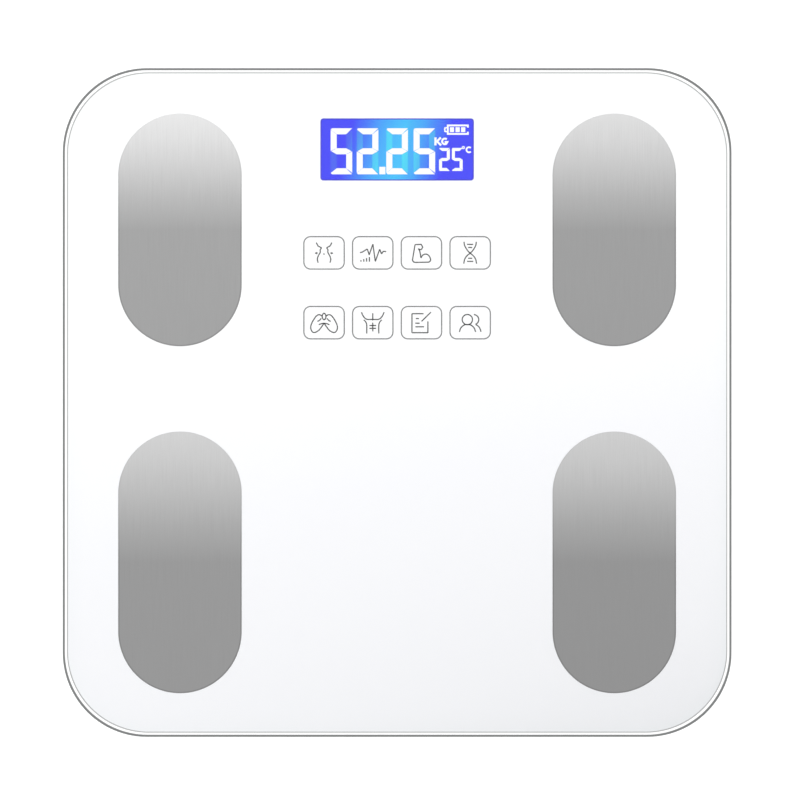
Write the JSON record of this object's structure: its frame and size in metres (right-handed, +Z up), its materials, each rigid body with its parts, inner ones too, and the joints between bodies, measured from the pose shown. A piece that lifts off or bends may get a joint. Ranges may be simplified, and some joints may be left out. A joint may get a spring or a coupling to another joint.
{
  "type": "digital bathroom scale",
  "caption": "Square glass bathroom scale with steel electrode pads, a lit blue display window, load-cell feet and a tray that opens for batteries underneath.",
  "frame": {"origin": "on the floor under the middle of the platform", "axes": "+X to the right of the person who reads the display, +Y towards the display, +Z up"},
  "size_m": [0.26, 0.26, 0.0253],
  "materials": {
    "platform_glass": "clear tempered glass, polished faces, finely ground edge",
    "backing_print": "white film printed on its back, grey line icons",
    "foam_tape": "soft foam tape",
    "electrode_steel": "fine lengthwise brushing, bevelled edge",
    "tray_plastic": "light grey moulded ABS, fine spark texture",
    "foot_plastic": "grey moulded nylon",
    "foot_rubber": "soft dark rubber with moulded grooves",
    "load_cell_steel": "stamped spring steel, zinc plated",
    "fastener_nickel": "nickel-plated steel",
    "display_glass": "lit blue liquid-crystal display with white segments",
    "light_guide": "clear acrylic with a white diffuser",
    "bezel_plastic": "white moulded plastic",
    "circuit_board": "green solder mask over copper tracks",
    "chip_epoxy": "black epoxy",
    "zebra_rubber": "striped conductive silicone",
    "switch_metal": "tinned steel can",
    "battery_sleeve": "printed plastic sleeve on a nickel-plated can",
    "wire_grey": "grey PVC insulation",
    "wire_white": "white PVC insulation",
    "wire_red": "red PVC insulation",
    "wire_black": "black PVC insulation",
    "button_rubber": "firm dark silicone"
  },
  "bodies": {
    "body": {"glass_platform": "platform_glass", "backing_film": "backing_print", "bond_tape": "foam_tape", "electrode_rear_right": "electrode_steel", "electrode_rear_left": "electrode_steel", "electrode_front_left": "electrode_steel", "electrode_front_right": "electrode_steel", "base_tray": "tray_plastic", "load_cell_rear_right": "load_cell_steel", "load_cell_retainer_rear_right": "foot_plastic", "retainer_screw_rear_right_a": "fastener_nickel", "retainer_screw_rear_right_b": "fastener_nickel", "load_cell_lead_rear_right": "wire_grey", "electrode_lead_rear_right": "wire_white", "load_cell_rear_left": "load_cell_steel", "load_cell_retainer_rear_left": "foot_plastic", "retainer_screw_rear_left_a": "fastener_nickel", "retainer_screw_rear_left_b": "fastener_nickel", "load_cell_lead_rear_left": "wire_grey", "electrode_lead_rear_left": "wire_white", "load_cell_front_left": "load_cell_steel", "load_cell_retainer_front_left": "foot_plastic", "retainer_screw_front_left_a": "fastener_nickel", "retainer_screw_front_left_b": "fastener_nickel", "load_cell_lead_front_left": "wire_grey", "electrode_lead_front_left": "wire_white", "load_cell_front_right": "load_cell_steel", "load_cell_retainer_front_right": "foot_plastic", "retainer_screw_front_right_a": "fastener_nickel", "retainer_screw_front_right_b": "fastener_nickel", "load_cell_lead_front_right": "wire_grey", "electrode_lead_front_right": "wire_white", "battery_rear": "battery_sleeve", "battery_front": "battery_sleeve", "negative_spring": "fastener_nickel", "positive_contact": "fastener_nickel", "link_contact": "fastener_nickel", "battery_lead_red": "wire_red", "battery_lead_black": "wire_black", "main_pcb": "circuit_board", "pcb_screw_right": "fastener_nickel", "pcb_screw_left": "fastener_nickel", "controller_chip": "chip_epoxy", "lcd_cell": "display_glass", "lcd_bezel": "bezel_plastic", "backlight_panel": "light_guide", "zebra_connector": "zebra_rubber", "tact_switch": "switch_metal"},
    "foot_rear_right": {"foot_cup_rear_right": "foot_plastic", "foot_rubber_rear_right": "foot_rubber"},
    "foot_rear_left": {"foot_cup_rear_left": "foot_plastic", "foot_rubber_rear_left": "foot_rubber"},
    "foot_front_left": {"foot_cup_front_left": "foot_plastic", "foot_rubber_front_left": "foot_rubber"},
    "foot_front_right": {"foot_cup_front_right": "foot_plastic", "foot_rubber_front_right": "foot_rubber"},
    "unit_button": {"unit_button": "button_rubber", "switch_plunger": "chip_epoxy"},
    "battery_door": {"battery_door": "tray_plastic"}
  },
  "joints": [
    {"name": "foot_rear_right_give", "type": "slide", "parent": "body", "child": "foot_rear_right", "axis": [0, 0, 1], "range_m": [0, 0.0004], "stiffness_N_per_m": 4000, "springref_m": -0.0015},
    {"name": "foot_rear_left_give", "type": "slide", "parent": "body", "child": "foot_rear_left", "axis": [0, 0, 1], "range_m": [0, 0.0004], "stiffness_N_per_m": 4000, "springref_m": -0.0015},
    {"name": "foot_front_left_give", "type": "slide", "parent": "body", "child": "foot_front_left", "axis": [0, 0, 1], "range_m": [0, 0.0004], "stiffness_N_per_m": 4000, "springref_m": -0.0015},
    {"name": "foot_front_right_give", "type": "slide", "parent": "body", "child": "foot_front_right", "axis": [0, 0, 1], "range_m": [0, 0.0004], "stiffness_N_per_m": 4000, "springref_m": -0.0015},
    {"name": "unit_button_press", "type": "slide", "parent": "body", "child": "unit_button", "axis": [0, 0, 1], "range_m": [0, 0.0005], "stiffness_N_per_m": 200, "springref_m": -0.005},
    {"name": "battery_door_swing", "type": "hinge", "parent": "body", "child": "battery_door", "pos_m": [0, 0.03295, 0.0054], "axis": [1, 0, 0], "range_deg": [0, 80]}
  ]
}
